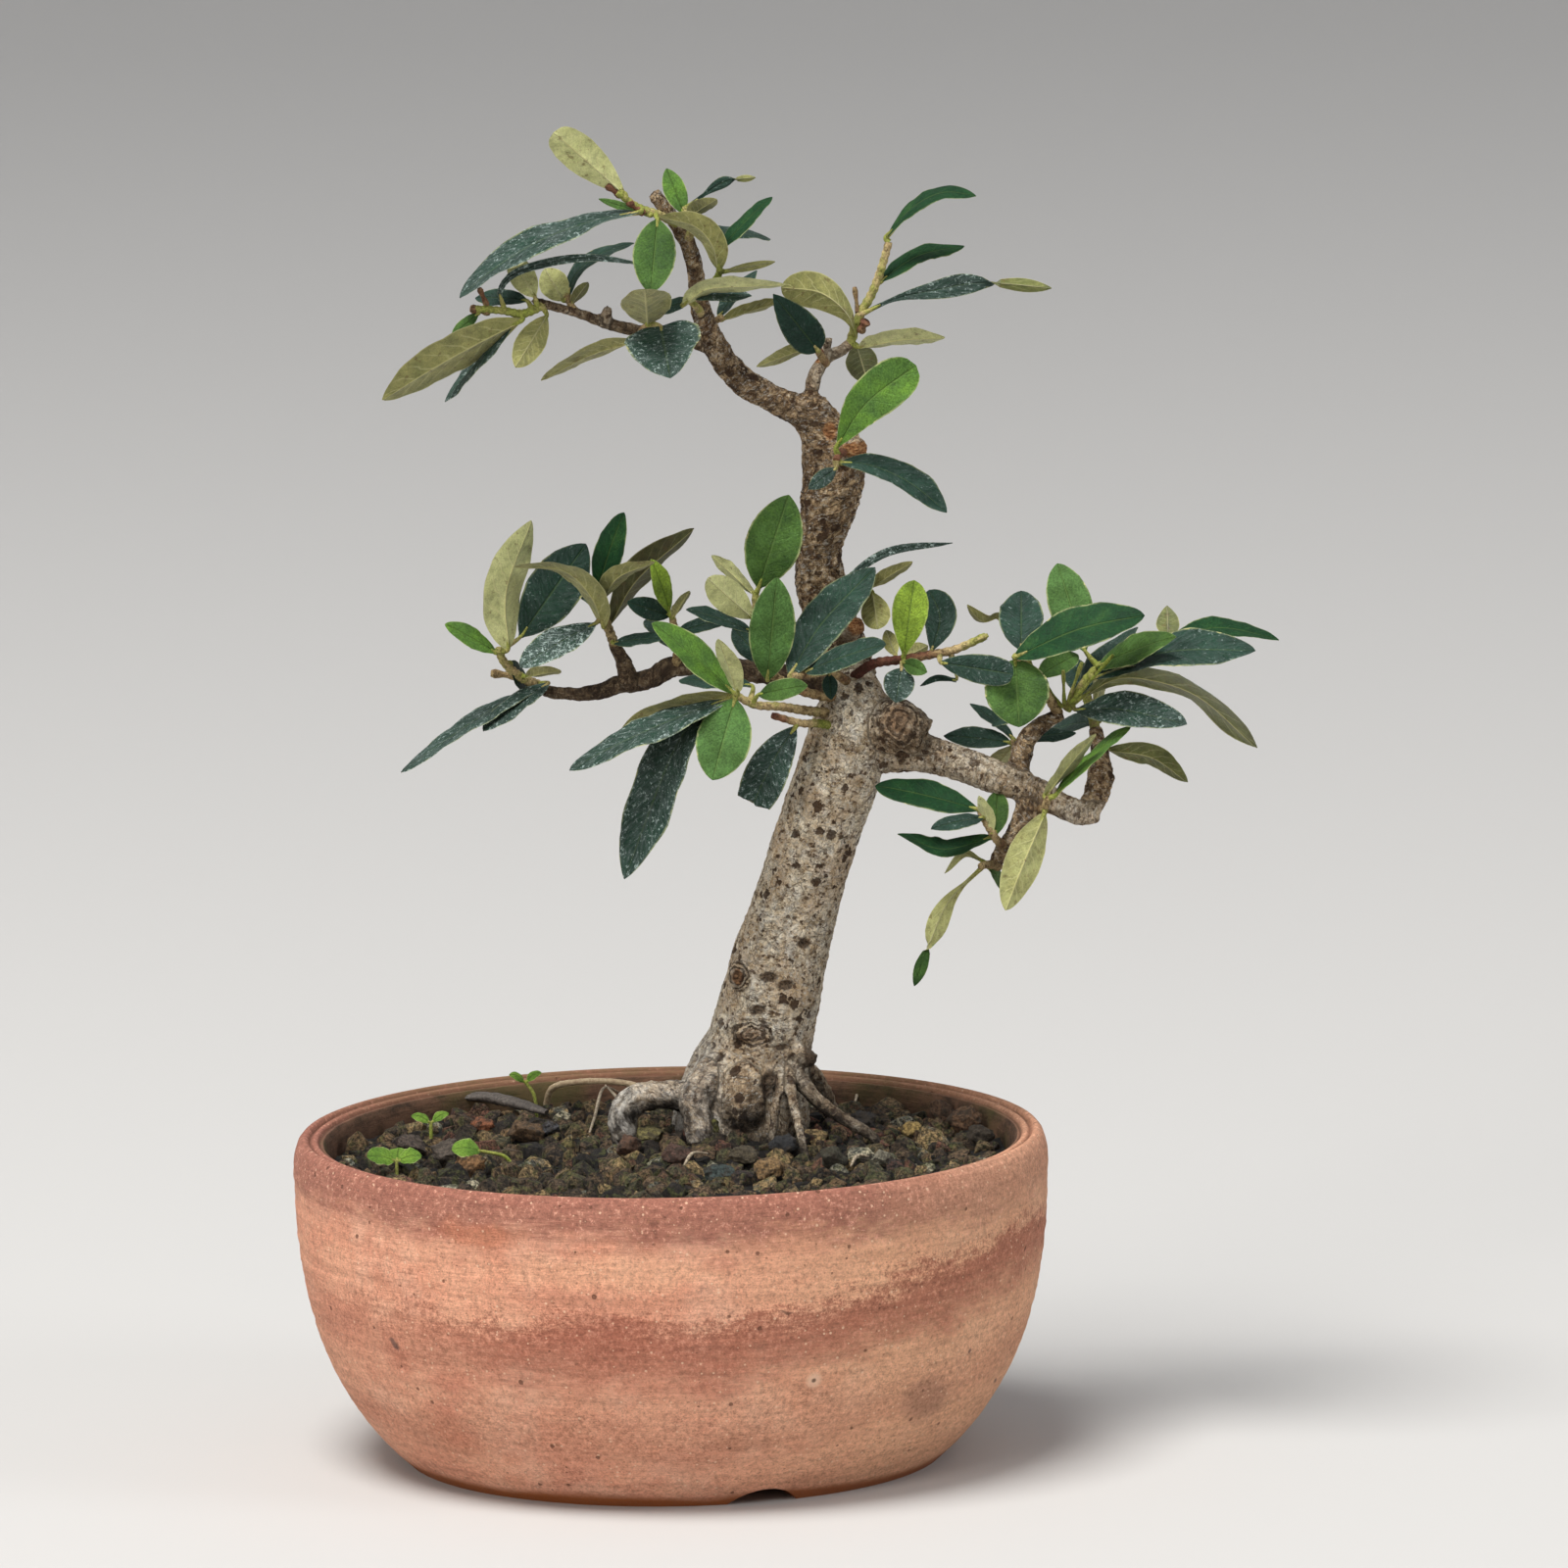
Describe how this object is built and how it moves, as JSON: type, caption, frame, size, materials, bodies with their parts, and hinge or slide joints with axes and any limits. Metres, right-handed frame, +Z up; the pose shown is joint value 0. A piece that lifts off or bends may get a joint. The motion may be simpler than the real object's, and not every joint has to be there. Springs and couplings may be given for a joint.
{
  "type": "himalayan cotoneaster bonsai in a round pot",
  "caption": "Small leaning bonsai tree with leathery elliptic leaves, standing in grit in a round unglazed earthenware bowl.",
  "frame": {"origin": "on the surface the pot stands on, under the middle of the whole plant's box", "axes": "+Z up; +X to the right of the front view, the side the branches reach out to; -Y towards the viewer"},
  "size_m": [0.2304, 0.175, 0.3098],
  "materials": {
    "earthenware": "unglazed, matt, with toasted bands",
    "grit": "damp crushed lava and pumice",
    "bark": "rough grey-brown bark",
    "foliage": "leathery blue-green leaves, felted below",
    "young_foliage": "young mid-green leaves, felted below",
    "weeds": "soft green seedlings",
    "straw": "dry tan grass stem"
  },
  "bodies": {
    "root": {"pot": "earthenware", "soil": "grit", "wood": "bark", "crown_tip_spray": "foliage", "crown_left_spray": "foliage", "crown_front_spray": "foliage", "leader_side_spray": "foliage", "leader_right_spray": "foliage", "apex_left_spray": "foliage", "apex_spray": "foliage", "apex_side_spray": "foliage", "crown_right_spray": "foliage", "crown_right_inner_spray": "foliage", "trunk_shoot_spray": "young_foliage", "left_tip_spray": "foliage", "left_spur_spray": "foliage", "left_inner_spray": "young_foliage", "front_spray": "foliage", "front_upper_spray": "young_foliage", "hanging_leaf_spray": "foliage", "centre_spray": "foliage", "upper_trunk_spray": "foliage", "centre_right_spray": "foliage", "right_front_spray": "foliage", "right_outer_spray": "foliage", "right_back_spray": "foliage", "right_inner_spray": "foliage", "low_front_spray": "young_foliage", "low_spray": "foliage", "low_tip_spray": "foliage", "seedling_left": "weeds", "seedling_middle": "weeds", "seedling_back": "weeds", "seedling_far_left": "weeds", "dry_stem": "straw"}
  },
  "joints": []
}
